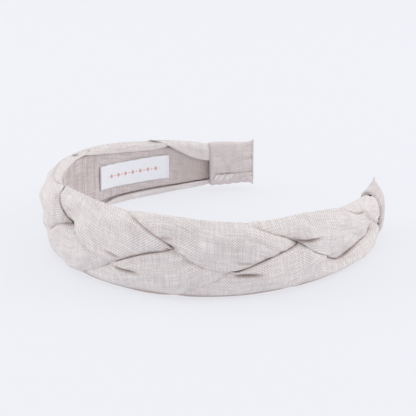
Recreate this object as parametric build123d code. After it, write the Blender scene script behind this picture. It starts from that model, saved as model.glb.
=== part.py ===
from build123d import *
from functools import lru_cache
import math
import os

# Braided linen headband, lying on its lower edge as it would on a table.
# Millimetres. Z is up. The band opens towards +Y, its crown is at -Y, and X runs across the head.
# A place on the band has three numbers: s along the lining's inner face from the crown (the right
# arm is positive), u up the face from its middle line, and w outwards from that inner face.

# Driving dimensions of the whole band
half_length = 194.0        # lining's inner face, from the crown to one tip
band_height = 35.8         # braid's full height at the crown
tip_rise = 1.8             # the tips stand this far above the table
clearance = 0.3            # gap between two pieces that lie on each other
facet_width = 2.0          # how far round a point its neighbours are looked at
least_thickness = 0.35     # a strand is never pressed thinner than this
facet_slack = 0.45         # what the strands' flat facets may cut off their round forms

# Lining
lining_thickness = 1.6
lining_height = 27.6

# Braid
braid_period = 155.0       # along the band, from one turn of a strand at the top edge to the next
first_turn = -7.7          # where strand_1 turns at the top edge, measured from the crown
strand_count = 3
strand_thickness = 3.5     # where the strand crosses the middle
bunching = 1.25            # and this many times as thick at most where it turns at a rim
usual_height = 1.1         # strand's height there, in half heights of the braid
section_power = 2.6        # 2 gives the strand an oval section, more a squarer one
strand_stations = 104
side_points = 8            # points across each face of a strand
drape_reach = 4.6          # a strand starts to climb this far before the edge of the one under it
drape_run = 3.2            # and lies at its full height this far past that edge
rim_sink = 1.3             # the strands dip this far towards the head past the lining's edges
climb_from = -0.035        # share of the period after a turn where a strand starts to lie over
climb_to = 0.010           # the next one, and where it does so fully
settle_from = 0.280        # where it starts to sink back under the one before it
settle_to = 0.365          # and where it has done so
carry_delay = 0.06         # and how much later it carries the one over it up as well
edge_float = 0.30          # 0 sets a strand's edge on what it lies on, 1 at its mid thickness
fold_depth = 0.9           # lengthwise fold that each strand takes where it turns at a rim
fold_reach = 0.09          # share of the period that it runs each side of the turn
fold_place = 0.40          # where it lies across the strand, from the edge towards the middle
fold_width = 0.13          # and how wide it is there, as a share of the strand's height

# End sleeves
sleeve_length = 24.0
sleeve_height = 24.0
sleeve_wall = 1.3
sleeve_proud = 7.7         # outer face of the sleeve at its fullest, from the lining's inner face
sleeve_under = 1.9         # inner face of the sleeve, from the lining's inner face
sleeve_heart = 0.8         # middle of the sleeve's section, from the lining's inner face
sleeve_power = 3.0         # 2 gives the sleeve an oval section, more a squarer one
sleeve_points = 24
strand_tuck = 8.0          # the strands run this far into the sleeve
lining_stop = 10.0         # the lining ends this far before the sleeve's end seam

# Label on the inner face of the left arm
label_length = 43.0
label_height = 12.9
label_thickness = 1.0
label_start = 0.536        # share of the half length, from the crown

# The band's plan as tangent arcs from the crown to a tip
ARCS = (
    # share of half length, turn in degrees
    (0.12, 16.5),
    (0.26, 44.0),
    (0.24, 35.7),
    (0.23, 23.6),
    (0.15, 6.9),
)

# How the band changes from the crown to a tip
TAPER = (
    # share of half length, height share, share of the way down to the tip, fullness share, lining share
    (0.00, 1.00, 0.00, 1.00, 1.00),
    (0.25, 1.00, 0.00, 1.00, 0.99),
    (0.50, 0.99, 0.04, 1.00, 0.95),
    (0.68, 0.89, 0.38, 0.94, 0.85),
    (0.80, 0.75, 0.74, 0.78, 0.74),
    (0.87, 0.53, 0.93, 0.40, 0.595),
    (0.92, 0.47, 0.98, 0.36, 0.59),
    (1.00, 0.47, 1.00, 0.36, 0.58),
)

# Upper edge of a strand over one period, from its turn at the top rim
EDGE = (
    # share of period, edge as a share of the half height
    (0.000, 1.00),
    (0.090, 0.985),
    (0.150, 0.93),
    (0.195, 0.82),
    (0.260, 0.60),
    (0.305, 0.38),
    (0.330, 0.20),
    (0.360, -0.05),
    (0.400, -0.21),
    (0.450, -0.30),
    (0.490, -0.33),
    (0.510, -0.18),
    (0.530, -0.03),
    (0.560, 0.09),
    (0.600, 0.20),
    (0.640, 0.26),
    (0.665, 0.26),
    (0.720, 0.38),
    (0.790, 0.72),
    (0.850, 0.93),
    (0.910, 0.985),
    (1.000, 1.00),
)

# A sleeve from its open mouth to its end seam
SLEEVE = (
    # share of sleeve length, height share, outer depth share, inner depth share
    (0.00, 0.93, 0.86, 0.95),
    (0.06, 0.97, 0.96, 1.00),
    (0.20, 0.985, 1.00, 1.00),
    (0.45, 0.97, 0.95, 1.00),
    (0.62, 0.955, 0.76, 0.98),
    (0.78, 0.95, 0.46, 0.78),
    (0.90, 0.965, 0.22, 0.52),
    (1.00, 1.00, 0.14, 0.42),
)
sleeve_floor = 0.62        # the hollow ends at this share of the sleeve's length


def smooth(x):
    """Rises softly from 0 to 1 while x goes from 0 to 1."""
    x = min(max(x, 0.0), 1.0)
    return x * x * (3.0 - 2.0 * x)


def along(table, column, x):
    """Reads a column of a table at x, with a smooth curve through its rows."""
    last = len(table) - 1
    x = min(max(x, table[0][0]), table[last][0])
    row = 0
    while row < last - 1 and x > table[row + 1][0]:
        row += 1

    def slope(k):
        low = max(k - 1, 0)
        high = min(k + 1, last)
        return (table[high][column] - table[low][column]) / (table[high][0] - table[low][0])

    run = table[row + 1][0] - table[row][0]
    t = (x - table[row][0]) / run
    start = table[row][column]
    end = table[row + 1][column]
    lift = (t ** 3 - 2 * t ** 2 + t) * slope(row) + (t ** 3 - t ** 2) * slope(row + 1)
    return start + (end - start) * smooth(t) + run * lift


# The band's plan

@lru_cache(maxsize=None)
def plan(s):
    """Point on the lining's inner face at s, and the heading there in radians."""
    left = min(abs(s), half_length)
    x, y, heading = 0.0, 0.0, 0.0
    for share, turn in ARCS:
        length = share * half_length
        radius = length / math.radians(turn)
        step = min(left, length)
        after = heading + step / radius
        x += radius * (math.sin(after) - math.sin(heading))
        y += radius * (math.cos(heading) - math.cos(after))
        heading = after
        left -= step
    # past the tip the band runs straight on
    over = max(abs(s) - half_length, 0.0)
    x += over * math.cos(heading)
    y += over * math.sin(heading)
    return math.copysign(x, s), y, heading


def spot(s, w):
    """Plan position at s, offset outwards by w."""
    x, y, heading = plan(s)
    side = 1.0 if s >= 0 else -1.0
    return x + side * math.sin(heading) * w, y - math.cos(heading) * w


@lru_cache(maxsize=None)
def taper(column, s):
    return along(TAPER, column, abs(s) / half_length)


def half_height(s):
    return band_height / 2 * taper(1, s)


def middle(s):
    """Height of the band's middle line above the table."""
    crown = band_height / 2
    tip = sleeve_height / 2 + tip_rise
    return crown + (tip - crown) * taper(2, s)


def place(s, u, w):
    x, y = spot(s, w)
    return Vector(x, y, middle(s) + u)


# Faceted skins

def triangle(a, b, c):
    return Face(Wire.make_polygon([a, b, c], close=True))


def between(first, second):
    """Triangles that join two rings of as many points."""
    faces = []
    for i in range(len(first)):
        j = (i + 1) % len(first)
        faces.append(triangle(first[i], first[j], second[j]))
        faces.append(triangle(first[i], second[j], second[i]))
    return faces


def lid(ring):
    """Closes a ring with a ladder of triangles from its first point to the one opposite."""
    faces = [triangle(ring[1], ring[0], ring[-1])]
    for i in range(1, len(ring) // 2 - 1):
        faces.append(triangle(ring[-i], ring[-i - 1], ring[i + 1]))
        faces.append(triangle(ring[-i], ring[i + 1], ring[i]))
    half = len(ring) // 2
    faces.append(triangle(ring[half + 1], ring[half], ring[half - 1]))
    return faces


def skin(rings):
    """Solid through a row of rings, closed at both ends."""
    faces = []
    for first, second in zip(rings, rings[1:]):
        faces += between(first, second)
    faces += lid(rings[0]) + lid(rings[-1][::-1])
    return Solid(Shell(faces))


# Walls that follow the band's plan

def wall(s_from, s_to, w_in, w_out, half):
    """Wall from s_from to s_to between two offsets, as high as half(s) each side of the middle."""
    start = 0.0
    cuts = {s_from, s_to}
    for row in ARCS:
        for s in (start, -start):
            if s_from < s < s_to:
                cuts.add(s)
        start += row[0] * half_length
    cuts = sorted(cuts)
    edges = []
    for w, stops in ((w_in, cuts), (w_out, cuts[::-1])):
        for a, b in zip(stops, stops[1:]):
            edges.append(ThreePointArc(spot(a, w), spot((a + b) / 2, w), spot(b, w)))
    edges.append(Line(spot(s_to, w_in), spot(s_to, w_out)))
    edges.append(Line(spot(s_from, w_out), spot(s_from, w_in)))
    blank = extrude(make_face(edges), 2 * band_height, dir=(0, 0, 1))
    # side outline, seen along X, cut to the height that the wall has at each arc's end
    side = sorted({abs(s) for s in cuts} | {abs(a + b) / 2 for a, b in zip(cuts, cuts[1:])})
    top = [(plan(s)[1], middle(s) + half(s)) for s in side]
    bottom = [(plan(s)[1], middle(s) - half(s)) for s in side]
    margin = lining_thickness + label_thickness + clearance
    top = [(top[0][0] - margin, top[0][1])] + top + [(top[-1][0] + margin, top[-1][1])]
    bottom = [(bottom[0][0] - margin, bottom[0][1])] + bottom + [(bottom[-1][0] + margin, bottom[-1][1])]
    outline = Plane.YZ * make_face(Polyline(*top, *bottom[::-1], close=True))
    return blank & extrude(outline, half_length, both=True)


def lining_half(s):
    return lining_height / 2 * taper(4, s)


def make_lining():
    end = half_length - lining_stop
    return wall(-end, end, 0.0, lining_thickness, lining_half)


def make_label():
    start = label_start * half_length
    return wall(-start - label_length, -start, -clearance - label_thickness, -clearance,
                lambda s: label_height / 2)


# The braid

def phase(strand, s):
    """Share of a period since the strand's last turn at the top rim."""
    return ((s - first_turn) / braid_period - strand / strand_count) % 1.0


@lru_cache(maxsize=None)
def edges_of(strand, s):
    """Lower and upper edge of a strand at s."""
    at = phase(strand, s)
    half = half_height(s)
    return -half * along(EDGE, 1, (at + 0.5) % 1.0), half * along(EDGE, 1, at)


@lru_cache(maxsize=None)
def thickness_of(strand, s):
    """A strand is thicker where it bunches up at a rim, because its cloth is narrower there."""
    low, high = edges_of(strand, s)
    nominal = usual_height * half_height(s)
    return strand_thickness * taper(3, s) * min(nominal / (high - low), bunching)


def cover(strand, s, u, run):
    """1 over a strand from run inside its edges, falling to 0 at drape_reach outside them."""
    low, high = edges_of(strand, s)
    size = half_height(s) / (band_height / 2)
    reach = drape_reach * size
    ramp = reach + run * size
    return smooth((u - low + reach) / ramp) * smooth((high + reach - u) / ramp)


@lru_cache(maxsize=None)
def riding(strand, s, delay):
    """1 where a strand lies over the next one, on its way from a rim across the middle."""
    at = (phase(strand, s) - climb_from) % 0.5 + climb_from
    rise = smooth((at - climb_from - delay) / (climb_to - climb_from))
    return rise * smooth((settle_to - at) / (settle_to - settle_from))


def base(s, u):
    """What the braid lies on: the lining's outer face, and past its edges a dip towards the head."""
    half = half_height(s)
    edge = lining_half(s) + 2 * clearance
    dip = smooth((abs(u) - edge) / max(half - edge, 1.0))
    return lining_thickness + clearance - rim_sink * taper(3, s) * dip


def support(strand, s, u):
    """Each strand lies over the next one, and that one over the one after it."""
    under = (strand + 1) % strand_count
    beyond = (strand + 2) % strand_count
    lift = cover(under, s, u, drape_run) * (thickness_of(under, s) + clearance)
    carried = riding(under, s, carry_delay) * cover(beyond, s, u, drape_run)
    lift += cover(under, s, u, 0.0) * carried * (thickness_of(beyond, s) + clearance)
    return base(s, u) + riding(strand, s, 0.0) * lift


def fold(strand, s, v):
    """Lengthwise fold near each turn, nearest the edge that faces the band's middle."""
    at = phase(strand, s)
    top_turn = max(1.0 - min(at, 1.0 - at) / fold_reach, 0.0)
    low_turn = max(1.0 - abs(at - 0.5) / fold_reach, 0.0)
    shape = smooth(top_turn) * math.exp(-((v - fold_place) / fold_width) ** 2)
    shape += smooth(low_turn) * math.exp(-((1.0 - v - fold_place) / fold_width) ** 2)
    return fold_depth * taper(3, s) * shape


@lru_cache(maxsize=None)
def loose_faces(strand, s, u):
    """Inner and outer face of a strand at u, before it is pressed by those over and under it."""
    low, high = edges_of(strand, s)
    v = (u - low) / (high - low)
    full = thickness_of(strand, s)
    thick = full * math.sqrt(max(1.0 - abs(2 * v - 1) ** section_power, 0.0))
    inner = support(strand, s, u) + edge_float * (full - thick) / 2
    return inner, inner + thick - min(fold(strand, s, v), thick / 2)


def contact(upper, s, u):
    """Level at which a strand and the one under it press on each other, or None where they don't."""
    lower = (upper + 1) % strand_count
    for strand in (upper, lower):
        low, high = edges_of(strand, s)
        if not low <= u <= high:
            return None
    bottom = loose_faces(upper, s, u)[0]
    top = loose_faces(lower, s, u)[1]
    if bottom - top > clearance + facet_slack:
        return None
    return (bottom + top) / 2


def faces_of(strand, s, u):
    """Inner and outer face of a strand, pressed flat where it meets those over and under it."""
    inner, outer = loose_faces(strand, s, u)
    upper = (strand - 1) % strand_count
    gap = (clearance + facet_slack) / 2
    for step, rise in ((0, 0), (0, -1), (0, 1), (-1, 0), (1, 0)):
        at = s + step * facet_width
        near = u + rise * facet_width
        below = contact(strand, at, near)
        if below is not None:
            inner = max(inner, below + gap)
        above = contact(upper, at, near)
        if above is not None:
            outer = min(outer, above - gap)
    if outer < inner:
        inner = outer = (inner + outer) / 2
    return inner, outer


def strand_ring(strand, s):
    low, high = edges_of(strand, s)
    outer = []
    inner = []
    for k in range(side_points + 1):
        v = 0.5 - 0.5 * math.cos(math.pi * k / side_points)
        u = low + (high - low) * v
        bottom, top = faces_of(strand, s, u)
        rim = k in (0, side_points)
        if rim:
            # the two faces share their first and last points
            bottom = top = (bottom + top) / 2
        elif top - bottom < least_thickness:
            bottom, top = (bottom + top - least_thickness) / 2, (bottom + top + least_thickness) / 2
        inner.append(place(s, u, bottom))
        outer.append(place(s, u, top))
    return outer + inner[-2:0:-1]


def make_strand(strand):
    end = half_length - sleeve_length + strand_tuck
    rings = []
    for k in range(strand_stations + 1):
        s = -end + 2 * end * k / strand_stations
        rings.append(strand_ring(strand, s))
    return skin(rings)


# End sleeves

def sleeve_ring(side, share, inset):
    """Ring round a sleeve at a share of its length, with its surface moved in by inset."""
    s = half_length - sleeve_length * (1.0 - share)
    tall = sleeve_height / 2 * along(SLEEVE, 1, share) - inset
    ring = []
    for k in range(sleeve_points):
        angle = 2 * math.pi * k / sleeve_points
        up = math.cos(angle)
        out = math.sin(angle)
        if out > 0:
            depth = (sleeve_proud - sleeve_heart) * along(SLEEVE, 2, share) - inset
        else:
            depth = (sleeve_under + sleeve_heart) * along(SLEEVE, 3, share) - inset
        u = tall * math.copysign(abs(up) ** (2 / sleeve_power), up)
        w = sleeve_heart + depth * math.copysign(abs(out) ** (2 / sleeve_power), out)
        ring.append(place(side * s, u, w))
    return ring if side > 0 else ring[::-1]


def make_sleeve(side):
    outer = [sleeve_ring(side, row[0], 0.0) for row in SLEEVE]
    depth = [row[0] for row in SLEEVE if row[0] < sleeve_floor] + [sleeve_floor]
    hollow = [sleeve_ring(side, share, sleeve_wall) for share in depth]
    faces = between(hollow[0][::-1], outer[0][::-1])
    faces += lid(outer[-1][::-1]) + lid(hollow[-1])
    for first, second in zip(outer, outer[1:]):
        faces += between(first, second)
    for first, second in zip(hollow, hollow[1:]):
        faces += between(second, first)
    return Solid(Shell(faces))


pieces = {"lining_band": make_lining(), "woven_label": make_label()}
for strand in range(strand_count):
    pieces[f"strand_{strand + 1}"] = make_strand(strand)
pieces["end_sleeve_right"] = make_sleeve(1)
pieces["end_sleeve_left"] = make_sleeve(-1)

# The origin is under the middle of the whole headband, on the table
corners = [piece.bounding_box() for piece in pieces.values()]
lowest = min(box.min.Z for box in corners)
middle_x = (min(box.min.X for box in corners) + max(box.max.X for box in corners)) / 2
middle_y = (min(box.min.Y for box in corners) + max(box.max.Y for box in corners)) / 2
shift = Location((-middle_x, -middle_y, -lowest))

os.makedirs("parts", exist_ok=True)
for name, piece in pieces.items():
    export_step(piece.moved(shift), f"parts/{name}.step")
    print(name, "volume", round(piece.volume, 1), "mm3")
print("origin shift", [round(value, 3) for value in shift.position])
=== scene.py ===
# %% [markdown]
# A braided linen headband lies on its lower edge on a pale table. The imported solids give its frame:
# the stiff band inside, three wide strands plaited round it, a sleeve at each tip and a small label.
# This notebook loads that frame and then dresses each piece in cloth, one cell at a time.

# %% Load the frame
import math

import bmesh
import bpy
import numpy as np
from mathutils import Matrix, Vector


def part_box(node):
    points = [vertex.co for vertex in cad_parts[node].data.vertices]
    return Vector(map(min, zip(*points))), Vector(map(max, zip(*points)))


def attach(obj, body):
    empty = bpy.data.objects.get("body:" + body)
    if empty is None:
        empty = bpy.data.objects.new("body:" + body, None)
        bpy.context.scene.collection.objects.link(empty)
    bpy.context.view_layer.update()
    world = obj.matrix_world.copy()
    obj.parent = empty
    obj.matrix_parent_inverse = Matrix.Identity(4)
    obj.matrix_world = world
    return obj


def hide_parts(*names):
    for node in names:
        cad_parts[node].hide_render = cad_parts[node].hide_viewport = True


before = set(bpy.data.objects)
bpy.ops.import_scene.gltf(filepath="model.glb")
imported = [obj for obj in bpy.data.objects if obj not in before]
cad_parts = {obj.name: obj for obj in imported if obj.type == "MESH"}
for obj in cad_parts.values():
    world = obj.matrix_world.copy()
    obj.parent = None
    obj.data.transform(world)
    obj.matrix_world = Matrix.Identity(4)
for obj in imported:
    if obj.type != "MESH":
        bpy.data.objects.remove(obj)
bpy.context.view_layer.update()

# %% [markdown]
# The camera comes first, because it decides what needs the most care. The photograph was taken with a
# long lens from a little above the table, so the near side of the band hides most of the far one. Its
# place was solved from the corners that can be found on both the photograph and the solids.

# %% Camera
target = Vector((0.00113, 0.00187, 0.01703))
azimuth, elevation, distance = math.radians(45.63), math.radians(19.06), 0.737
back = Vector((math.sin(azimuth) * math.cos(elevation), -math.cos(azimuth) * math.cos(elevation),
               math.sin(elevation)))
camera = bpy.data.objects.new("camera", bpy.data.cameras.new("camera"))
bpy.context.scene.collection.objects.link(camera)
camera.location = target + back * distance
camera.rotation_euler = (-back).to_track_quat("-Z", "Y").to_euler()
camera.data.sensor_width = 36.0
camera.data.lens = 131.84
camera.data.clip_end = 20.0
bpy.context.scene.camera = camera
bpy.context.scene.view_settings.view_transform = "Standard"
print("camera at", [round(c, 3) for c in camera.location], "m")

# %% [markdown]
# Colour and relief come from small node trees. Writing them as sums and products keeps them short:
# this class holds one output of a node, and adding or multiplying it adds the Math node that does so.

# %% Shader maths
class Wire:
    """One output of a node. Arithmetic on it adds Math nodes."""

    def __init__(self, finish, socket):
        self.finish, self.socket = finish, socket

    def maths(self, operation, *others):
        """The result of an operation on this value and, where it takes more than one, the others."""
        return self.finish.maths(operation, self, *others)

    def __add__(self, other):
        return self.maths("ADD", other)

    __radd__ = __add__

    def __sub__(self, other):
        return self.maths("SUBTRACT", other)

    def __rsub__(self, other):
        return self.finish.maths("SUBTRACT", other, self)

    def __mul__(self, other):
        return self.maths("MULTIPLY", other)

    __rmul__ = __mul__


class Finish:
    """A material while its nodes are being added."""

    def __init__(self, name):
        self.material = bpy.data.materials.new(name)
        self.material.use_nodes = True
        self.tree = self.material.node_tree
        self.shader = self.tree.nodes["Principled BSDF"]

    def node(self, kind, settings=None, values=None, out=0):
        """Adds a node: its settings first, then the value or the link of each of its sockets."""
        made = self.tree.nodes.new(kind)
        for name, setting in (settings or {}).items():
            setattr(made, name, setting)
        for key, value in (values or {}).items():
            self.give(made.inputs[key], value)
        return Wire(self, made.outputs[out])

    def give(self, socket, value):
        if isinstance(value, Wire):
            self.tree.links.new(value.socket, socket)
        else:
            socket.default_value = value

    def set(self, **values):
        """Values or links of the shader's sockets, with _ in place of the spaces in their names."""
        for name, value in values.items():
            self.give(self.shader.inputs[name.replace("_", " ")], value)

    def maths(self, operation, *values):
        return self.node("ShaderNodeMath", {"operation": operation}, dict(enumerate(values)))

    def mix(self, factor, first, second):
        """Mixes two colours."""
        return self.node("ShaderNodeMix", {"data_type": "RGBA"}, {0: factor, 6: first, 7: second}, out=2)

    def noise(self, x, y, detail):
        """Noise that changes over about one unit of x and of y."""
        place = self.node("ShaderNodeCombineXYZ", None, {0: x, 1: y})
        return self.node("ShaderNodeTexNoise", {"noise_dimensions": "2D"},
                         {"Vector": place, "Scale": 1.0, "Detail": detail})

    def ramp(self, value, low, high):
        """0 below low, 1 above high and a soft rise between them."""
        return self.node("ShaderNodeMapRange", {"interpolation_type": "SMOOTHSTEP"},
                         {"Value": value, "From Min": low, "From Max": high})

    def on_cloth(self):
        """Where a point lies on the flat cloth: mm along the piece and mm across it."""
        weave = self.node("ShaderNodeUVMap", {"uv_map": "weave"})
        split = self.node("ShaderNodeSeparateXYZ", None, {0: weave})
        return split, Wire(self, split.socket.node.outputs[1])

    def relief(self, strength, height):
        """Lights the surface as if it stood out by a height in mm."""
        self.set(Normal=self.node("ShaderNodeBump", None, {"Strength": strength, "Distance": 0.001,
                                                           "Height": height}))


print("shader helpers ready")

# %% [markdown]
# The strands are cut from plain-weave linen. Up close it is a grid of slightly uneven threads: each
# keeps its own tone for a while, thick slubs catch the light, and the surface is matte. The weave is
# laid out on the cloth's own coordinates, in millimetres along and across each piece, so it follows
# every fold. A picture could not do that at any size, and a flat colour would look like plastic.

# %% Linen
THREAD = 0.62                  # distance between threads in mm
TONE_RUN = 11.0                # how far a thread keeps its tone, in mm
MIDDLE_TONE, TONE_SPREAD = 0.55, 0.62
SHADOW = (0.58, 0.43, 0.35)    # red, green and blue in a crease, as shares of the darker colour


def linen(name, colour, shade, contrast):
    """Linen of a colour, with a darker one for what lies between the threads."""
    made = Finish(name)
    along, across = made.on_cloth()

    def grain(run, wide, detail=2.0):
        """Noise that is drawn out to run mm along the piece and wide mm across it."""
        return made.noise(along * (1 / run), across * (1 / wide), detail)

    def threads(way):
        return (way * (math.pi / THREAD)).maths("SINE")

    warp = made.ramp(grain(TONE_RUN, THREAD * 0.9), 0.27, 0.73)
    weft = made.ramp(grain(THREAD * 0.9, TONE_RUN), 0.27, 0.73)
    weave = threads(along) * threads(across)
    slubs = made.ramp(grain(2.6, 0.55), 0.63, 0.74) + made.ramp(grain(0.55, 2.2), 0.64, 0.76)
    cloud = grain(14.0, 9.0, 3.0)
    tone = (warp + weft) * 0.42 + weave * 0.62 + (cloud * 0.4 - 0.10)
    spread = TONE_SPREAD / contrast
    body = made.mix(made.ramp(tone, MIDDLE_TONE - spread, MIDDLE_TONE + spread), shade, colour)
    pale = tuple(min(1.0, c * 1.12) for c in colour[:3]) + (1.0,)
    speckled = made.mix(slubs.maths("MINIMUM", 1.0) * 0.55, body, pale)
    # painted shade: a point attribute darkens creases, seams and overlapped edges towards the shadow
    # colour
    painted_shade = made.node("ShaderNodeAttribute", {"attribute_name": "painted_shade"}, out=2)
    shadow = tuple(c * share for c, share in zip(shade, SHADOW)) + (1.0,)
    made.set(Base_Color=made.mix(painted_shade * 0.85, speckled, shadow), Roughness=0.86, Sheen_Weight=0.12,
             Sheen_Roughness=0.5, Specular_IOR_Level=0.22)
    rumple = grain(5.0, 3.4, 3.0)
    made.relief(0.8, weave * 0.10 + (warp + weft) * 0.10 + slubs * 0.08 + rumple * 0.30)
    return made.material


braid_linen = linen("braid_linen", (0.93, 0.875, 0.865, 1.0), (0.62, 0.56, 0.55, 1.0), 1.15)
# the lining and the sleeves are the same linen as the strands, made darker as painted shade
shaded_lining_linen = linen("shaded_lining_linen", (0.80, 0.72, 0.715, 1.0), (0.50, 0.43, 0.425, 1.0), 1.7)
shaded_sleeve_linen = linen("shaded_sleeve_linen", (0.85, 0.785, 0.78, 1.0), (0.56, 0.495, 0.49, 1.0), 1.4)
print("linens", [m.name for m in (braid_linen, shaded_lining_linen, shaded_sleeve_linen)])

# %% [markdown]
# Every piece follows the same open U. A place on it has three numbers: s along the band from its
# crown, u up its face, and w outwards from the inner face of the band. Working in those three numbers
# turns a bent braid into a flat one, which is far easier to draw. The tables repeat the ones that the
# solids were made from, in millimetres, so the cloth lands where the solids are.

# %% The band's plan
half_length = 194.0
band_height = 35.8
tip_rise = 1.8
lining_thickness = 1.6
lining_height = 27.6
sleeve_length = 24.0
sleeve_height = 24.0
table_gap = 0.02           # nothing sinks into the table

ARCS = (
    # share of half length, turn in degrees
    (0.12, 16.5), (0.26, 44.0), (0.24, 35.7), (0.23, 23.6), (0.15, 6.9),
)
TAPER = (
    # share of half length, height share, way down to the tip, fullness, lining share
    (0.00, 1.00, 0.00, 1.00, 1.00),
    (0.25, 1.00, 0.00, 1.00, 0.99),
    (0.50, 0.99, 0.04, 1.00, 0.95),
    (0.68, 0.89, 0.38, 0.94, 0.85),
    (0.80, 0.775, 0.74, 0.80, 0.74),
    (0.84, 0.69, 0.86, 0.70, 0.665),
    (0.87, 0.58, 0.93, 0.66, 0.61),
    (0.92, 0.54, 0.98, 0.63, 0.59),
    (1.00, 0.53, 1.00, 0.62, 0.58),
)


def smooth(x):
    x = np.clip(x, 0.0, 1.0)
    return x * x * (3.0 - 2.0 * x)


def along(table, column, x):
    """Reads a column of a table at many places at once, with a smooth curve through its rows."""
    table = np.array(table)
    xs, ys = table[:, 0], table[:, column]
    x = np.clip(x, xs[0], xs[-1])
    slopes = np.concatenate([[(ys[1] - ys[0]) / (xs[1] - xs[0])],
                             (ys[2:] - ys[:-2]) / (xs[2:] - xs[:-2]),
                             [(ys[-1] - ys[-2]) / (xs[-1] - xs[-2])]])
    row = np.clip(np.searchsorted(xs, x) - 1, 0, len(xs) - 2)
    run = xs[row + 1] - xs[row]
    t = (x - xs[row]) / run
    lift = (t ** 3 - 2 * t ** 2 + t) * slopes[row] + (t ** 3 - t ** 2) * slopes[row + 1]
    return ys[row] + (ys[row + 1] - ys[row]) * smooth(t) + run * lift


def plan(s):
    """Place in plan and heading at each s."""
    left = np.minimum(np.abs(s), half_length)
    x, y, heading = np.zeros_like(left), np.zeros_like(left), np.zeros_like(left)
    for share, turn in ARCS:
        radius = share * half_length / math.radians(turn)
        step = np.minimum(left, share * half_length)
        after = heading + step / radius
        x += radius * (np.sin(after) - np.sin(heading))
        y += radius * (np.cos(heading) - np.cos(after))
        heading, left = after, left - step
    over = np.maximum(np.abs(s) - half_length, 0.0)
    return np.copysign(x + over * np.cos(heading), s), y + over * np.sin(heading), heading


def taper(column, s):
    return along(TAPER, column, np.abs(s) / half_length)


def half_height(s):
    return band_height / 2 * taper(1, s)


def middle(s):
    crown, tip = band_height / 2, sleeve_height / 2 + tip_rise
    return crown + (tip - crown) * taper(2, s)


LEAN = (
    # s, how much higher or lower than its solid the band lies there, in mm
    (-194.0, 0.7), (-150.0, 0.3), (-110.0, 0.0), (110.0, 0.0), (150.0, -0.5), (194.0, -1.2),
)

low, high = (1000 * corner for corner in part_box("lining_band"))
shift = np.array([(low.x + high.x) / 2, low.y + lining_thickness,
                  low.z - (band_height - lining_height) / 2])


def place(s, u, w):
    """Points of the row frame, in mm, for places on the band."""
    s, u, w = np.broadcast_arrays(np.asarray(s, float), u, w)
    x, y, heading = plan(s)
    side = np.where(s >= 0, 1.0, -1.0)
    level = np.maximum(middle(s) + along(LEAN, 1, s) + u, table_gap)
    return np.stack([x + side * np.sin(heading) * w, y - np.cos(heading) * w, level], -1) + shift


tips = place(np.array([-half_length, half_length]), 0.0, 0.0)
print("shift", shift.round(3), "tips at", tips.round(1).tolist())

# %% [markdown]
# A piece of cloth is built as rings of points, one ring after another along it. Joined up, they make a
# closed skin of four-sided faces, and a second set of numbers, the weave map, tells the material
# where each point lies on the flat cloth. Subdividing a box could not keep threads and folds in line.

# %% Skins from rings
def ring_faces(rows, points):
    """Four-sided faces that join each ring of points to the next."""
    i, j = np.arange(rows - 1)[:, None], np.arange(points)[None, :]
    k = (j + 1) % points
    corners = [i * points + j, i * points + k, (i + 1) * points + k, (i + 1) * points + j]
    return np.stack(corners, -1).reshape(-1, 4)


def new_piece(name, points, faces, material, maps=None, painted_shades=None):
    """Puts a mesh, its points in mm, into the scene with its faces turned outwards. Maps has the place
    on the flat cloth of each corner of each face."""
    mesh = bpy.data.meshes.new(name)
    mesh.from_pydata((points / 1000).tolist(), [], faces)
    layer = mesh.uv_layers.new(name="weave")
    if maps is not None:
        layer.data.foreach_set("uv", maps.astype(np.float32).ravel())
        # each point's painted shade goes into a point attribute that the material reads
        depth = np.zeros(len(points)) if painted_shades is None else np.clip(painted_shades, 0, 1).ravel()
        painted_shade = mesh.attributes.new("painted_shade", "FLOAT", "POINT")
        painted_shade.data.foreach_set("value", depth.astype(np.float32))
    piece = bpy.data.objects.new(name, mesh)
    bpy.context.scene.collection.objects.link(piece)
    work = bmesh.new()
    work.from_mesh(mesh)
    bmesh.ops.recalc_face_normals(work, faces=work.faces)
    if work.calc_volume(signed=True) < 0:
        bmesh.ops.reverse_faces(work, faces=work.faces)
    volume = work.calc_volume() * 1e6
    work.to_mesh(mesh)
    work.free()
    mesh.shade_smooth()
    mesh.materials.append(material)
    print(name, "faces", len(mesh.polygons), "volume", round(volume, 2), "cm3")
    return piece


def cloth_tube(name, rings, weave, material, painted_shades=None):
    """Closed skin through rings (rows x points x 3, mm); weave has one more point a row, for the seam.
    The last argument gives each point its painted shade, from 0 for none to 1, in creases, seams and
    under edges."""
    rows, points = rings.shape[:2]
    faces = ring_faces(rows, points).tolist()
    maps = [np.stack([weave[:-1, :-1], weave[:-1, 1:], weave[1:, 1:], weave[1:, :-1]], -2).reshape(-1, 2)]
    for row, turn in ((0, -1), (rows - 1, 1)):
        # the end is a ladder between the two sides of the ring
        for a in range(points // 2):
            rung = [a, a + 1, points - a - 1, (points - a) % points][::turn]
            rung = [p for n, p in enumerate(rung) if p not in rung[:n]]
            faces.append([row * points + p for p in rung])
            maps.append(weave[row, rung])
    return new_piece(name, rings.reshape(-1, 3), faces, material, np.concatenate(maps), painted_shades)


def there_and_back(s, u, front, rear):
    """Rings that go up along the front of a piece and come back down along its rear."""
    return np.concatenate([place(s, u, front), place(s, u[:, -2:0:-1], rear[:, -2:0:-1])], 1)


def girths(rings):
    """Distance round each ring from its first point, with the way back to it at the end."""
    steps = np.linalg.norm(np.roll(rings, -1, 1) - rings, axis=-1)
    return np.concatenate([np.zeros((len(rings), 1)), np.cumsum(steps, 1)], 1)


def weave_map(lengths, widths):
    """The weave map from how far along and how far across the flat cloth each point lies."""
    return np.stack(np.broadcast_arrays(lengths, widths), -1)


print("cloth helpers ready")

# %% [markdown]
# Three wide strands are plaited flat round the band. Each runs from one rim to the other, over the
# next strand and then under the one before it, and the same edge line serves all three, a third of a
# period apart. Where a strand goes under, the cloth above presses it flat. Working that out from the
# order of the strands is surer here than a cloth simulation of three crossing tubes.

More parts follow.
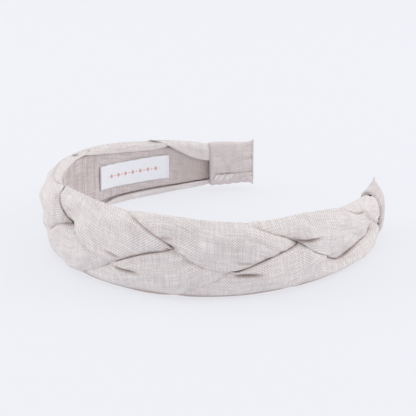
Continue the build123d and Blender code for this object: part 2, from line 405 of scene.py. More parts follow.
# %% Edges and layers of the braid
braid_period = 155.0
first_turn = -7.7
strand_count = 3
strand_thickness = 3.5
bunching = 1.15            # how much thicker a strand may get where it is drawn together
usual_height = 1.1         # height of a strand of usual thickness, as a share of the half height
edge_thinness = 0.60       # 0.5 gives the strand an oval section, more gives it thinner edges
lie = 0.16                 # gap between two layers of cloth
drape_reach, drape_run = 6.0, 3.0         # how far beyond an edge the cloth above it is lifted, in mm
rim_sink = 1.0                            # how far the strands lie further in at the rims, in mm
climb_from, climb_to = -0.035, 0.010      # where in its period a strand climbs on to the next one
settle_from, settle_to = 0.280, 0.365     # and where it comes down again
carry_delay = 0.06         # how much later it is lifted by the strand two layers down
edge_float = 0.10          # how much of an edge's thinning is on its inner face, as a share
hang = 4.0                 # how far in from its edge a strand starts to hang down, in mm
gather_from, gather_run = 140.0, 22.0     # where a rim starts to lose its notches, and over how far

EDGE = (
    # share of period, upper edge and mirrored lower edge as shares of the half height
    (0.000, 1.00, 1.00), (0.090, 0.995, 0.99), (0.150, 0.985, 0.93), (0.180, 0.965, 0.83),
    (0.220, 0.84, 0.67), (0.257, 0.665, 0.52), (0.293, 0.485, 0.36), (0.322, 0.30, 0.22),
    (0.352, 0.17, 0.08), (0.380, 0.02, -0.04), (0.420, -0.14, -0.18), (0.455, -0.22, -0.27),
    (0.487, -0.22, -0.26), (0.512, -0.15, -0.18), (0.543, -0.03, -0.02), (0.578, 0.10, 0.12),
    (0.610, 0.19, 0.24), (0.645, 0.25, 0.37), (0.685, 0.33, 0.43), (0.720, 0.47, 0.50),
    (0.790, 0.78, 0.78), (0.850, 0.95, 0.95), (0.910, 0.99, 0.99), (1.000, 1.00, 1.00),
)


def phase(strand, s):
    return ((s - first_turn) / braid_period - strand / strand_count) % 1.0


PULLED = (
    # strand, its upper (1) or lower (-1) edge, s, rise in mm, reach along s
    (2, 1, -24.5, 6.5, 3.8),
    (2, 1, -13.0, -3.4, 3.6),
    (1, 1, -17.0, 1.3, 5.0),
    (2, 1, 28.0, 0.9, 9.0),
    (0, 1, 85.0, -1.9, 17.0),
    (1, 1, 93.0, 1.2, 8.0),
    (2, -1, 97.0, 1.6, 5.0),
    (1, 1, 128.0, -7.2, 13.0),
    (1, 1, 150.0, -8.5, 14.0),
    (2, -1, 127.0, -2.6, 10.0),
    (0, -1, 148.0, -5.0, 7.0),
    (2, 1, 148.0, 5.0, 9.0),
)


def edge_share(column, at, s):
    """Edge of a strand as a share of the half height; towards the tips the rim loses its notches."""
    share = along(EDGE, column, at)
    gathered = smooth((np.abs(s) - gather_from) / gather_run)
    return share + (1.0 - share) * gathered * smooth((share - 0.55) / 0.3)


def edges_of(strand, s):
    at, half = phase(strand, s), half_height(s)
    above = half * edge_share(1, at, s)
    # along the table the rim sags until it all but touches
    share = edge_share(2, (at + 0.5) % 1.0, s)
    below = -half * (share + 0.7 * (1 - share) * smooth((share - 0.72) / 0.2))
    for owner, edge, centre, rise, reach in PULLED:
        if owner == strand:
            pull = rise * np.exp(-((s - centre) / reach) ** 2)
            if edge > 0:
                above = np.minimum(above + pull, 0.99 * half)
            else:
                below = np.maximum(below + pull, -0.99 * half)
    return below, above


def thickness_of(strand, s):
    below, above = edges_of(strand, s)
    return strand_thickness * taper(3, s) * np.minimum(usual_height * half_height(s) / (above - below),
                                                       bunching)


def cover(strand, s, u, run):
    below, above = edges_of(strand, s)
    size = half_height(s) / (band_height / 2)
    reach = drape_reach * size
    ramp = reach + run * size
    return smooth((u - below + reach) / ramp) * smooth((above + reach - u) / ramp)


def riding(strand, s, delay):
    at = (phase(strand, s) - climb_from) % 0.5 + climb_from
    return (smooth((at - climb_from - delay) / (climb_to - climb_from))
            * smooth((settle_to - at) / (settle_to - settle_from)))


def base(s, u):
    half = half_height(s)
    edge = lining_height / 2 * taper(4, s) + 0.6
    dip = smooth((np.abs(u) - edge) / np.maximum(half - edge, 1.0))
    return lining_thickness + 0.3 - rim_sink * taper(3, s) * dip


def support(strand, s, u):
    under, beyond = (strand + 1) % strand_count, (strand + 2) % strand_count
    lift = cover(under, s, u, drape_run) * (thickness_of(under, s) + lie)
    carried = riding(under, s, carry_delay) * cover(beyond, s, u, drape_run)
    lift += cover(under, s, u, 0.0) * carried * (thickness_of(beyond, s) + lie)
    return base(s, u) + riding(strand, s, 0.0) * lift


def stiff_faces(strand, s, u):
    """Inner and outer face of a strand that hangs on to nothing at its edges."""
    below, above = edges_of(strand, s)
    v = (u - below) / (above - below)
    full = thickness_of(strand, s)
    # a lower edge is thinner, above all where it lies on another strand
    on_cloth = smooth((half_height(s) * 0.9 + below) / 3.0)
    thinness = edge_thinness + (0.3 + 0.55 * on_cloth) * (1 - smooth(v / 0.5))
    thick = full * np.maximum(1.0 - np.abs(2 * v - 1) ** 2, 0.0) ** thinness
    inner = support(strand, s, u) + edge_float * (full - thick) / 2
    return inner, inner + thick


def loose_faces(strand, s, u):
    """The same with its edges hanging down on to what lies below them."""
    inner, outer = stiff_faces(strand, s, u)
    below, above = edges_of(strand, s)
    under = (strand + 1) % strand_count
    low, high = edges_of(under, s)
    top = stiff_faces(under, s, np.clip(u, low, high))[1]
    rest = np.where((low <= u) & (u <= high), top, base(s, u))
    near = np.minimum(u - below, above - u)
    # the upper edge hangs down a little less than the lower one
    share = np.where(u - below < near + 0.1, 1, 0.85)
    drop = np.maximum(inner - rest - lie, 0.0) * (1 - smooth(near / hang)) * share
    return inner - drop, outer - drop


def contact(upper, s, u):
    """Where a strand and the one under it press on each other, and the level at which they do."""
    lower = (upper + 1) % strand_count
    meets = np.ones(np.broadcast(s, u).shape, bool)
    for strand in (upper, lower):
        below, above = edges_of(strand, s)
        meets &= (below <= u) & (u <= above)
    bottom, top = loose_faces(upper, s, u)[0], loose_faces(lower, s, u)[1]
    meets &= bottom - top <= 2 * lie
    return meets, (bottom + top) / 2


def faces_of(strand, s, u, look=0.7):
    """Inner and outer face of a strand after its neighbours have pressed on it."""
    inner, outer = loose_faces(strand, s, u)
    upper = (strand - 1) % strand_count
    for step, rise in ((0, 0), (0, -look), (0, look), (-look, 0), (look, 0)):
        meets, level = contact(strand, s + step, u + rise)
        inner = np.where(meets, np.maximum(inner, level + lie / 2), inner)
        meets, level = contact(upper, s + step, u + rise)
        outer = np.where(meets, np.minimum(outer, level - lie / 2), outer)
    centre = (inner + outer) / 2
    half = np.maximum((outer - inner) / 2, 0.2)
    return centre - half, centre + half


s = np.linspace(-60, 60, 5)
print("strand_1 edges at", s, [e.round(1).tolist() for e in edges_of(0, s)])

# %% [markdown]
# Linen does not lie as smoothly as a drawing. Near each turn the tube is gathered, and a sharp crease
# runs in from there; the photograph shows those on the near side. Long, faint ripples follow the
# strand where the cloth was pulled. The creases are up to 2.3 mm deep and the ripples less than half a
# millimetre. Both move the outer face itself, so they hold when it is looked at from any side.

# %% Creases and ripples
CREASES = (
    # strand, s and u where it starts, s and u where it ends, depth, half width
    (0, -14.5, 11.2, -7.0, 10.6, 0.7, 0.8),
    (1, 37.0, 9.2, 43.5, 9.4, 0.9, 0.7),
    (2, 95.5, 5.0, 108.0, 6.6, 2.3, 0.9),
    (2, 13.5, -6.0, 31.0, -6.9, 2.3, 0.9),
    (0, 66.0, -6.3, 81.5, -6.6, 2.3, 0.9),
    (1, 76.5, -1.6, 65.0, 1.2, 1.1, 0.8),
    (0, 20.5, -1.2, 12.0, 1.2, 1.5, 0.8),
    (1, 62.0, -6.6, 52.0, -5.2, 0.9, 0.8),
    (2, -66.0, 9.0, -54.0, 8.0, 1.6, 0.8),
    (1, -118.0, 6.5, -106.0, 8.0, 1.6, 0.8),
    (1, -39.0, -6.4, -27.0, -7.4, 1.6, 0.8),
    (0, -91.0, -6.0, -79.5, -7.2, 1.8, 0.8),
    (2, -141.0, -4.0, -131.0, -5.0, 1.4, 0.7),
)


def creases(strand, s, u):
    """How far the creases of a strand sink its outer face."""
    depth = np.zeros(np.broadcast(s, u).shape)
    for owner, s0, u0, s1, u1, deep, half in CREASES:
        if owner != strand:
            continue
        run, rise = s1 - s0, u1 - u0
        t = ((s - s0) * run + (u - u0) * rise) / (run ** 2 + rise ** 2)
        off = ((u - u0) * run - (s - s0) * rise) / math.hypot(run, rise)
        ends = smooth(t / 0.25) * smooth((1 - t) / 0.45) * (t > 0) * (t < 1)
        # one side of a crease is steep, and the cloth swells gently on the other
        groove = np.exp(-(off / np.where(off > 0, half, 0.55 * half)) ** 2)
        swell = 0.35 * np.exp(-((off - 2.6 * half) / (1.5 * half)) ** 2)
        depth += deep * ends * (groove - swell)
    return depth


def contact_lines(strand, s, u):
    """Painted shade along the line where the edge of the strand above runs over this one: 1 there, fading
    within half a millimetre.
    """
    upper = (strand - 1) % strand_count
    dark = np.zeros(np.broadcast(s, u).shape)
    for edge, strength in zip(edges_of(upper, s), (0.2, 1.0)):
        on_cloth = smooth((half_height(s) * 0.93 - np.abs(edge)) / 2.0)
        started = smooth(((phase(upper, s) - climb_from) % 0.5 + climb_from + 0.005) / 0.045)
        line = np.exp(-((u - edge) / 0.34) ** 2) * on_cloth * riding(upper, s, 0.0) * started
        dark = np.maximum(dark, strength * line)
    return dark


SWELL = (
    # s, how much the upper rim stands up there, how much the lower rim does
    (-194.0, 0.0, 0.0), (-160.0, -0.5, 0.0), (-130.0, -0.9, 0.0), (-95.0, -0.8, 0.0),
    (-72.0, -0.3, 0.0), (-50.0, 0.3, 0.0), (-36.0, 1.2, 0.0), (-24.0, 2.8, 0.0),
    (-12.0, 3.1, 0.0), (0.0, 3.2, 0.0), (9.0, 2.8, 0.0), (17.0, 2.1, 0.0),
    (26.0, 2.1, 0.0), (40.0, 2.1, 0.0), (56.0, 0.7, 0.0), (70.0, -0.5, 0.0),
    (82.0, -1.0, 0.0), (100.0, -0.7, 0.0), (124.0, -1.2, 0.3), (140.0, -1.0, 0.8),
    (155.0, -0.3, 0.8), (175.0, 0.0, 0.3), (194.0, 0.0, 0.0),
)


def swelled(s, u):
    """Height on the band once the rims have swelled or sunk."""
    half = half_height(s)
    return u + along(SWELL, 1, s) * smooth(u / half) - along(SWELL, 2, s) * smooth(-u / half)


DENTS = (
    # strand, s and u of the middle, reach along s and u, how far its face is pressed in or, below 0, out
    (2, -52.0, 12.0, 14.0, 4.5, -0.8),
)


def dents(strand, s, u):
    """Broad shallow places where the face lies lower, or higher, than its section says."""
    return sum(deep * np.exp(-((s - at) / long) ** 2 - ((u - high) / wide) ** 2)
               for owner, at, high, long, wide, deep in DENTS if owner == strand)


def ripples(strand, s, across):
    """Long shallow waves that run with the strand."""
    dice = np.random.default_rng(40 + strand)
    total = 0.0
    for wave, length, size in ((3.1, 26, 0.06), (4.7, 41, 0.10), (6.9, 33, 0.12), (10.5, 58, 0.16)):
        wave, length = wave * dice.uniform(0.9, 1.1), length * dice.choice((-1, 1))
        total = total + size * np.sin(2 * math.pi * (across / wave + s / length + dice.uniform()))
    return total


print("creases", len(CREASES))

# %% [markdown]
# Now the strands themselves: a ring every 0.56 mm, with points close together at the two folded edges
# of the tube, where the cloth turns round. The step where one strand presses on another is softened
# a little, since cloth bridges a step. The weave map runs along the middle of the strand, so that the
# threads stay parallel to it and run off over its edges as they do on a folded tube.

# %% Strands
STATIONS, ACROSS = 640, 56
strand_end = half_length - sleeve_length + 8.0      # the strands go on 8 mm under the sleeves
sleeve_squeeze, turn_squeeze = 0.34, 0.27           # shares of its thickness that the plait loses


def soften(level, rounds):
    """Averages a grid of levels with its neighbours."""
    for _ in range(rounds):
        grown = np.pad(level, 1, mode="edge")
        level = (grown[1:-1, 1:-1] * 2 + grown[:-2, 1:-1] + grown[2:, 1:-1]
                 + grown[1:-1, :-2] + grown[1:-1, 2:]) / 6
    return level


def kept(s, u):
    """Share of its thickness that the plait keeps where it is pressed."""
    # the right sleeve squeezes the upper part of what goes into it
    share = 1 - sleeve_squeeze * smooth((s - 156.0) / 14.0) * smooth((u / half_height(s) - 0.15) / 0.8)
    # and the plait lies flatter at its left turn
    return share - turn_squeeze * np.exp(-((s + 46.0) / 14.0) ** 2 - ((u + 2.5) / 6.5) ** 2)


def marks(strand, s, u, v, above):
    """How much painted shade the outer face gets in its creases, under the edges on it and along its
    foot, from 0 to 1 and more.
    """
    half = half_height(s)
    mark = np.clip(creases(strand, s, u), 0, 3) / 2.6 + 0.7 * contact_lines(strand, s, u)
    # the turned edge that lies on another strand is in shade as well
    turned = smooth((v - 0.965) / 0.035) * smooth((half * 0.93 - np.abs(above)) / 2.0)
    mark = mark + 0.55 * turned * riding(strand, s, 0.0)
    # the fold at the foot gets painted shade, where it rests on the table
    return mark + 0.7 * np.exp(-((half - 0.6 + u) / 1.2) ** 2) * (u < 0)


def strand_rings(strand):
    s = np.linspace(-strand_end, strand_end, STATIONS)[:, None]
    k = np.arange(ACROSS + 1) / ACROSS
    v = (0.35 * k + 0.65 * (0.5 - 0.5 * np.cos(math.pi * k)))[None, :]
    below, above = edges_of(strand, s)
    wander = ripples(strand + 5, s, 0.0) * 0.9
    u = below + (above - below) * v + wander * (1 - taper(1, s) * 0.2) * (np.abs(v - 0.5) * 2) ** 2
    inner, outer = faces_of(strand, s, u)
    inner, outer = soften(inner, 2), soften(outer, 2)
    bulge = 1 - np.abs(2 * v - 1) ** 6
    detail = ripples(strand, s, (v - 0.5) * (above - below)) * bulge * taper(3, s)
    detail = detail - (creases(strand, s, u) + dents(strand, s, u)) * bulge
    outer = np.maximum(outer + detail, inner + 0.35)
    share = kept(s, u)
    inner, outer = (lining_thickness + (level - lining_thickness) * share for level in (inner, outer))
    rim = (inner + outer) / 2
    inner[:, [0, -1]] = outer[:, [0, -1]] = rim[:, [0, -1]]
    mark = marks(strand, s, u, v, above)
    painted_shades = np.concatenate([mark, np.zeros_like(mark[:, -2:0:-1])], 1)
    rings = there_and_back(s, swelled(s, u), outer, inner)
    halfway = [ACROSS // 2]
    centre = place(s, (below + above) / 2, (inner[:, halfway] + outer[:, halfway]) / 2)[:, 0]
    length = np.concatenate([[0.0], np.cumsum(np.linalg.norm(np.diff(centre, axis=0), axis=1))])
    girth = girths(rings)
    return rings, weave_map(length[:, None], girth - girth[:, halfway]), painted_shades


for strand in range(strand_count):
    rings, weave, painted_shades = strand_rings(strand)
    weave = weave + 37.0 * strand     # so that no two strands show the same threads
    piece = cloth_tube(f"linen_strand_{strand + 1}", rings, weave, braid_linen, painted_shades)
    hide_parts(f"strand_{strand + 1}")
    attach(piece, "root")

# %% [markdown]
# At each rim a strand rolls over the edge of the band and ends a few millimetres down its inner face,
# the way the cloth does when a plait is pulled tight and stitched down. Four rolls do this here, one
# at the left turn and three on the far arm, where the photograph shows them best: they end in a thin
# dark line, and the third runs down towards the tip as a wide flap. Each roll is a piece of its own,
# laid from the rim of its strand on to the lining.

# %% Rolls over the rims
ROLLS = (
    # rim, how far it stands off, then s and u of the line where it ends on the inner face
    (1, 2.00, ((-22.0, 17.2), (-27.0, 15.8), (-36.0, 14.4), (-50.0, 13.8), (-64.0, 13.8), (-76.0, 14.6),
               (-86.0, 15.0), (-92.0, 15.2), (-97.0, 16.6))),
    (1, 0.95, ((-83.0, 17.6), (-88.0, 16.4), (-91.5, 15.0), (-102.5, 12.6), (-118.0, 10.9), (-133.5, 9.9),
               (-143.0, 10.4), (-149.0, 12.0))),
    (1, 1.60, ((-137.0, 15.2), (-140.0, 14.4), (-143.5, 13.3), (-149.0, 10.4), (-154.5, 7.3),
               (-161.5, 4.1), (-168.5, 2.6), (-176.0, 2.2))),
    (-1, 1.00, ((-104.0, -16.4), (-107.0, -15.4), (-109.5, -14.4), (-115.5, -13.2), (-126.0, -12.4),
                (-138.5, -11.8), (-150.0, -10.7), (-168.5, -8.4), (-176.0, -7.9))),
)


lowest_crest = 1.9         # how far out a roll bends over the rim at least, in mm


def rim_at(rim, s):
    """Height of the rim and the strand that reaches it."""
    edges = [edges_of(strand, s)[1 if rim > 0 else 0] for strand in range(strand_count)]
    return np.max(np.abs(edges), 0), np.argmax(np.abs(edges), 0)


def roll_rings(rim, proud, line):
    table = sorted((abs(s), abs(u)) for s, u in line)
    run = np.linspace(table[0][0], table[-1][0], 100)[:, None]
    s = math.copysign(1.0, line[0][0]) * run
    top, owner = rim_at(rim, s)
    for look in (-5.0, -2.5, 2.5, 5.0):
        top = np.maximum(top, rim_at(rim, s + look)[0] - 0.12 * abs(look))
    end = np.minimum(along(table, 1, run), top - 0.25)
    v = (0.5 - 0.5 * np.cos(math.pi * np.arange(25) / 24))[None, :]
    u = end + (top - end) * v
    levels = [sum(faces_of(strand, s, rim * u)) / 2 for strand in range(strand_count)]
    level = soften(np.choose(owner, levels), 3)
    crest = np.maximum(level[:, [-1]], lowest_crest)
    proud = proud * np.minimum(1.0, (top - end) / 3.0)
    # the front comes off the rim in a round bend, lies flat on the lining and turns under at its end
    bend = np.sqrt(np.maximum(1 - (1 - np.clip((top - u) / 3.4, 0, 1)) ** 2, 0))
    hem = np.sqrt(np.maximum(1 - (1 - np.clip((u - end) / 0.7, 0, 1)) ** 2, 0))
    lying = -0.10 - proud * (0.35 + 0.65 * hem) - 0.07 * ripples(60, s, u)
    front = crest + (lying - crest) * bend
    behind = smooth((u - lining_height / 2 * taper(4, s) - 0.1) / 0.8)
    rear = np.maximum(-0.08 + (level + 0.08) * behind, front + 0.05)
    front[:, 0] = rear[:, 0] = -0.10 - 0.3 * proud[:, 0]
    rear[:, -1] = front[:, -1]
    rings = there_and_back(s, rim * u + (swelled(s, rim * u) - rim * u) * v, front, rear)
    return rings, weave_map(s, girths(rings))


for number, (rim, proud, line) in enumerate(ROLLS):
    rings, weave = roll_rings(rim, proud, line)
    weave = weave + 21.0 * number
    piece = cloth_tube(f"linen_roll_{number + 1}", rings, weave, braid_linen)
    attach(piece, "root")

# %% [markdown]
# The band inside is a stiff strip with the same linen pulled over it. Only its inner face shows. It is
# smooth under the label and gathers in a few upright wrinkles where the strip bends most, because
# the cloth on the inside of a bend is too long for it.

# %% Lining
WRINKLES = (
    # s, depth, half width
    (-101.5, 0.6, 0.9), (-97.0, 0.8, 1.3), (-91.8, 0.6, 1.0), (-85.0, 0.9, 1.5), (-77.5, 0.8, 1.3),
    (-69.0, 0.6, 1.6), (68.0, 0.6, 1.5), (75.5, 0.8, 1.4), (82.0, 0.6, 1.0), (88.0, 0.8, 1.3),
)


def lining_rings():
    end = half_length - 10.0
    s = np.linspace(-end, end, 560)[:, None]
    half = lining_height / 2 * taper(4, s) - 0.1 + 1.2 * (1 - smooth((np.abs(s) - 92.0) / 30.0))
    k = np.linspace(0, 1, 29)[None, :]
    u = half * (2 * k - 1)
    inner = 0.12 * ripples(9, s, u) * (1 - (2 * k - 1) ** 4)
    # painted shade on the lining's face, on one side of each wrinkle and where it runs in under things
    lining_shade = np.zeros_like(inner)
    for at, deep, wide in WRINKLES:
        bend = at + 0.10 * u * math.copysign(1, at) + 0.5 * np.sin(u / 5.0)
        inner = inner - deep * np.exp(-((s - bend) / wide) ** 2) * (0.75 + 0.25 * np.cos(u / 4.0))
        lining_shade += 0.22 * np.exp(-((s - bend - 2.2 * wide) / wide) ** 2)
    # painted shade: it is darkest where it runs in under the rolls and the sleeve
    lining_shade += 0.25 * smooth((np.abs(s) - 135.0) / 35.0) + 0.35 * smooth((np.abs(s) - 163.0) / 7.0)
    edge = (1 - np.abs(2 * k - 1) ** 14) ** 0.5
    centre = lining_thickness / 2
    inner = centre - (centre - inner) * edge
    rings = there_and_back(s, u, centre + centre * edge, inner)
    painted_shades = np.concatenate([np.zeros_like(lining_shade), lining_shade[:, -2:0:-1]], 1)
    return rings, weave_map(s + 300.0, girths(rings)), painted_shades


rings, weave, painted_shades = lining_rings()
lining = cloth_tube("linen_lining", rings, weave, shaded_lining_linen, painted_shades)
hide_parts("lining_band")
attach(lining, "root")

# %% [markdown]
# Each tip sits in a small sleeve, like the corner of a pillowcase: open at the mouth, sewn flat
# across its end, with a pointed ear at both corners where the seam was turned. Gathers run in from
# that seam. On the face towards the head the cloth overlaps in a seam along the sleeve.

# %% End sleeves
SLEEVE = (
    # share of sleeve length, height share, outer depth share, inner depth share
    (0.00, 0.930, 0.93, 0.94),
    (0.06, 0.970, 0.98, 1.01),
    (0.20, 0.975, 1.00, 1.00),
    (0.45, 0.955, 0.95, 1.00),
    (0.62, 0.935, 0.78, 0.96),
    (0.78, 0.925, 0.50, 0.76),
    (0.90, 0.955, 0.22, 0.46),
    (0.96, 0.995, 0.13, 0.30),
    (1.00, 1.045, 0.09, 0.20),
)
sleeve_proud, sleeve_under, sleeve_heart = 7.7, 2.6, 0.8
sleeve_wall, sleeve_floor = 1.6, 0.60
overlap_at = -5.2          # height of the lengthwise seam on the inner face
stitch_count, first_stitch, last_stitch = 9, 20.5, 12.0    # how many, and how far from the tip, in mm
stitch_radius = 0.33
stitch_stand, stitch_bow = 0.78, 0.20      # how far a stitch stands off the cloth, and its bow, in mm


def sleeve_skin(side, share, inset, angle):
    up, out = np.cos(angle), np.sin(angle)
    near_mouth = 1 - smooth(share / 0.6)
    # the mouth of the right one is pushed back a little, and at its top it gapes towards the head
    pushed, gaping, slack = (2.3, 0.60, 0.36) if side > 0 else (0.0, 0.1, 0.0)
    s = half_length - sleeve_length * (1.0 - share) + pushed * near_mouth
    tall = sleeve_height / 2 * along(SLEEVE, 1, share) - inset
    depth = np.where(out > 0, (sleeve_proud - sleeve_heart) * along(SLEEVE, 2, share),
                     (sleeve_under + sleeve_heart) * along(SLEEVE, 3, share)
                     * (1 + gaping * near_mouth * smooth(up * 1.3))) - inset
    depth = np.maximum(depth, 0.15)
    rounding = 2 / 3 + slack * near_mouth * smooth(up * 2) * smooth(out * 2)
    u = tall * np.copysign(np.abs(up) ** rounding, up)
    w = sleeve_heart + depth * np.copysign(np.abs(out) ** rounding, out)
    outside = (inset == 0) * np.abs(out) ** 0.4 * np.sign(out)
    # gathers that run in from the end seam, deepest beside it
    gather = smooth((share - 0.45) / 0.45) * (1 - smooth((share - 0.955) / 0.045))
    folds = (np.sin(2 * math.pi * (u / 3.4 + 0.07 * side))
             + 0.6 * np.sin(2 * math.pi * (u / 5.3 + 0.3 * share)))
    soft = 0.22 * ripples(20 + side, share * sleeve_length * 2, u)
    w = w + outside * (0.17 * gather * folds + soft)
    # the flat end seam and the hem at the mouth are stitched down
    stitched = (np.exp(-((share - 0.945) / 0.012) ** 2) * 0.25
                + np.exp(-((share - 0.115) / 0.010) ** 2) * 0.12)
    w = w - outside * stitched
    # the overlap stands proud below the lengthwise seam on the inner face
    lap = (out < 0) * smooth((overlap_at - u) / 0.4) * smooth((u + 11.0) / 2.5)
    slit = (out < 0) * np.exp(-((u - overlap_at - 0.25) / 0.30) ** 2) * smooth((share - 0.08) / 0.1)
    w = w - (inset == 0) * (0.50 * lap - 0.45 * slit) * (1 - gather * 0.4)
    # its lower edge is scalloped by the stitches
    scallop = np.abs(np.sin(math.pi * (share * sleeve_length / 4.6 + 0.2))) - 0.6
    u = u - (inset == 0) * 0.45 * scallop * smooth((-up - 0.55) / 0.4)
    # painted shade goes into the seam's slit and the puckers, with a dark spot at the knot
    knot = (out < 0) * np.exp(-((share - 0.86) / 0.025) ** 2 - ((u + 9.2) / 0.7) ** 2)
    puckers = gather * np.clip(folds, -1.6, 0) ** 2 * 0.12
    return place(side * s, u, w), (inset == 0) * (0.75 * slit + 0.8 * knot + puckers)


def sleeve_rings(side):
    count = 112
    angle = (np.arange(count) / count * 2 * math.pi)[None, :]
    inside = np.linspace(sleeve_floor, 0.03, 18)
    outside = np.concatenate([np.linspace(0.0, 0.9, 70), np.linspace(0.905, 1.0, 20)])
    rows = [sleeve_skin(side, np.array([[x]]), sleeve_wall, angle) for x in inside]
    for turn in np.linspace(0.15, 0.85, 5):
        # the rolled hem at the mouth
        lip = 0.5 - 0.5 * math.cos(math.pi * turn)
        share = 0.012 - 0.028 * math.sin(math.pi * turn)
        rows.append(sleeve_skin(side, np.array([[share]]), sleeve_wall * (1 - lip), angle))
    rows += [sleeve_skin(side, np.array([[x]]), 0.0, angle) for x in outside]
    rings = np.concatenate([row for row, _ in rows])
    painted_shades = np.concatenate([np.broadcast_to(mark, (1, count)) for _, mark in rows])
    run = np.linalg.norm(np.diff(rings, axis=0), axis=2).mean(1)
    length = np.concatenate([[0.0], np.cumsum(run)])[:, None]
    return rings, weave_map(length, girths(rings)), painted_shades


pale_thread = Finish("pale_thread")
pale_thread.set(Base_Color=(0.93, 0.89, 0.87, 1.0), Roughness=0.7, Sheen_Weight=0.2)
pale_thread = pale_thread.material


ROD_SIDES = 8


def rods(name, lines, radius, material):
    """Short rounded threads through lines of points (mm), all in one piece."""
    turn = np.arange(ROD_SIDES)[:, None] / ROD_SIDES * 2 * math.pi
    points, faces, start = [], [], 0
    for line in lines:
        run = np.gradient(line, axis=0)
        run /= np.linalg.norm(run, axis=1)[:, None]
        side_on = np.cross(run, (0.0, 0.0, 1.0))
        side_on /= np.linalg.norm(side_on, axis=1)[:, None]
        up_on = np.cross(side_on, run)
        wide = radius * np.sqrt(1 - np.linspace(-0.97, 0.97, len(line)) ** 4)[:, None, None]
        rings = line[:, None] + wide * (side_on[:, None] * np.cos(turn) + up_on[:, None] * np.sin(turn))
        points.append(rings.reshape(-1, 3))
        end = start + ROD_SIDES * len(line)
        faces += (start + ring_faces(len(line), ROD_SIDES)).tolist()
        faces += [list(range(start, start + ROD_SIDES)), list(range(end - ROD_SIDES, end))]
        start = end
    return new_piece(name, np.concatenate(points), faces, material)


def inner_level(side, s, u):
    """How far in the inner face of a sleeve stands at a place on it."""
    share = 1.0 - (half_length - abs(s)) / sleeve_length
    tall = sleeve_height / 2 * along(SLEEVE, 1, share)
    depth = (sleeve_under + sleeve_heart) * along(SLEEVE, 3, share)
    return sleeve_heart - depth * (1 - min(1.0, abs(u) / tall) ** 3) ** (1 / 3)


for side, name in ((-1, "left"), (1, "right")):
    rings, weave, painted_shades = sleeve_rings(side)
    weave = weave + 90 * side
    piece = cloth_tube(f"linen_sleeve_{name}", rings, weave, shaded_sleeve_linen, painted_shades)
    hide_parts(f"end_sleeve_{name}")
    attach(piece, "root")
    # whip stitches hold the overlap down on the inner face
    dice = np.random.default_rng(7 + side)
    threads = []
    for at in np.linspace(half_length - first_stitch, half_length - last_stitch, stitch_count):
        lean, start = dice.uniform(-2.0, -1.2), overlap_at + dice.uniform(0.1, 0.7)
        t = np.linspace(0, 1, 7)
        s, u = side * (at + lean * t), start - dice.uniform(2.8, 3.8) * t
        w = [inner_level(side, a, b) - stitch_stand - stitch_bow * math.sin(math.pi * x)
             for a, b, x in zip(s, u, t)]
        threads.append(place(s, u, np.array(w)))
    stitches = rods(f"whip_stitches_{name}", threads, stitch_radius, pale_thread)
    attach(stitches, "root")

# %% [markdown]
# A small woven label is sewn to the inner face of the far arm. It is finer and whiter than the linen,
# its ends are folded under and stitched. It carries a plain row of diamonds and dots.

# %% Label cloth
LABEL_THREAD = 0.28        # distance between its threads in mm
PITCH = 4.6                # distance between diamonds in mm, with a dot half way between two of them


def label_cloth(length, height):
    made = Finish("label_cloth")
    across, up = made.on_cloth()
    thread = (up * (math.pi / LABEL_THREAD)).maths("SINE")
    grain = made.noise(across * 0.35, up * 4.0, 3.0)
    white = made.mix(made.ramp(grain, 0.25, 0.75), (0.80, 0.80, 0.84, 1.0), (0.88, 0.88, 0.92, 1.0))
    from_middle = across - length / 2
    centre = from_middle.maths("PINGPONG", PITCH / 2)
    rise = (up - height / 2).maths("ABSOLUTE")
    diamond = 1 - made.ramp(centre + rise * 0.85, 0.98, 1.22)
    from_dot = PITCH / 2 - centre
    dot = 1 - made.ramp(from_dot * from_dot + rise * rise, 0.10, 0.22)
    row_end = 3.5 * PITCH
    inked = (diamond + dot) * (1 - made.ramp(from_middle.maths("ABSOLUTE"), row_end - 0.2, row_end))
    made.set(Base_Color=made.mix(inked * 0.9, white, (0.66, 0.36, 0.32, 1.0)), Roughness=0.55,
             Sheen_Weight=0.15, Specular_IOR_Level=0.35)
    made.relief(0.6, thread * 0.02 + grain * 0.05 + inked * 0.05)
    return made.material


print("label cloth ready")

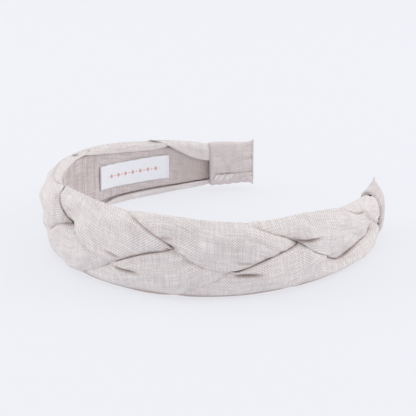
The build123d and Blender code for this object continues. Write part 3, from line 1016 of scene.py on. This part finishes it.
# %% Label
label_length, label_height = 43.0, 12.9
label_start = 0.536        # where its end nearest the crown lies, as a share of the half length
label_half_thickness = 0.32
label_stand = 0.68         # how far the middle of its thickness stands off the lining, in mm
s = np.linspace(-label_start * half_length - label_length, -label_start * half_length, 150)[:, None]
k = np.linspace(0, 1, 27)[None, :]
level = 0.1 * np.sin(s / 6.0) - 0.75 - 0.016 * (s - s[-1])
u = label_height * (k - 0.5) * (1 + 0.012 * np.sin(s * 0.9)) + level
from_end = np.minimum(s - s[0], s[-1] - s)
fold = 0.22 * np.exp(-((from_end - 0.6) / 0.5) ** 2) - 0.10 * np.exp(-((from_end - 1.9) / 0.35) ** 2)
lift = 0.16 * np.sin(s / 5.3 + 1.0) * (2 * k - 1) ** 2 + 0.06 * np.sin(s / 3.1 + k * 4)
edge = np.sqrt(1 - np.abs(2 * k - 1) ** 10)
centre = -label_stand - lift
front, rear = centre - (label_half_thickness + fold) * edge, centre + label_half_thickness * edge
rings = there_and_back(s, u, front, rear)
turned = np.concatenate([u, u[:, -2::-1]], 1) - level + label_height / 2
weave = weave_map(s - s[0], turned)
label = cloth_tube("small_label", rings, weave, label_cloth(label_length, label_height))
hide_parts("woven_label")
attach(label, "root")

# %% [markdown]
# The table is a plain pale sheet, and the light is that of a white studio: a bright room all round,
# with a large soft lamp overhead and a window on either side that give the folds their faint shadows.

# %% Table and light
floor_mesh = bpy.data.meshes.new("table_top")
reach = 4.0
corners = [(-reach, -reach, 0), (reach, -reach, 0), (reach, reach, 0), (-reach, reach, 0)]
floor_mesh.from_pydata(corners, [], [(0, 1, 2, 3)])
floor = bpy.data.objects.new("table_top", floor_mesh)
floor.location.z = -0.00005     # just clear of the foot of the band
bpy.context.scene.collection.objects.link(floor)
paper = Finish("pale_table")
paper.set(Base_Color=(0.23, 0.2325, 0.24, 1.0), Roughness=0.8, Specular_IOR_Level=0.1,
          Emission_Color=(0.92, 0.93, 0.98, 1.0), Emission_Strength=0.67)
floor_mesh.materials.append(paper.material)

world = bpy.data.worlds.new("studio")
world.use_nodes = True
room = world.node_tree.nodes["Background"].inputs
room["Color"].default_value = (0.97, 0.98, 1.0, 1.0)
room["Strength"].default_value = 0.84
bpy.context.scene.world = world


def softbox(name, where, size, power, colour):
    lamp = bpy.data.lights.new(name, "AREA")
    lamp.shape, lamp.size, lamp.energy, lamp.color = "DISK", size, power, colour
    piece = bpy.data.objects.new(name, lamp)
    piece.location = where
    piece.rotation_euler = Vector(where).to_track_quat("Z", "Y").to_euler()
    bpy.context.scene.collection.objects.link(piece)


warm_white = (1.0, 0.99, 0.98)
softbox("overhead", (-0.3, 0.2, 2.2), 2.4, 5.0, warm_white)
softbox("left_window", (-1.3, -1.1, 0.8), 1.4, 8.5, warm_white)
softbox("right_window", (1.2, 1.2, 0.8), 1.4, 9.0, warm_white)
print("table and light ready")
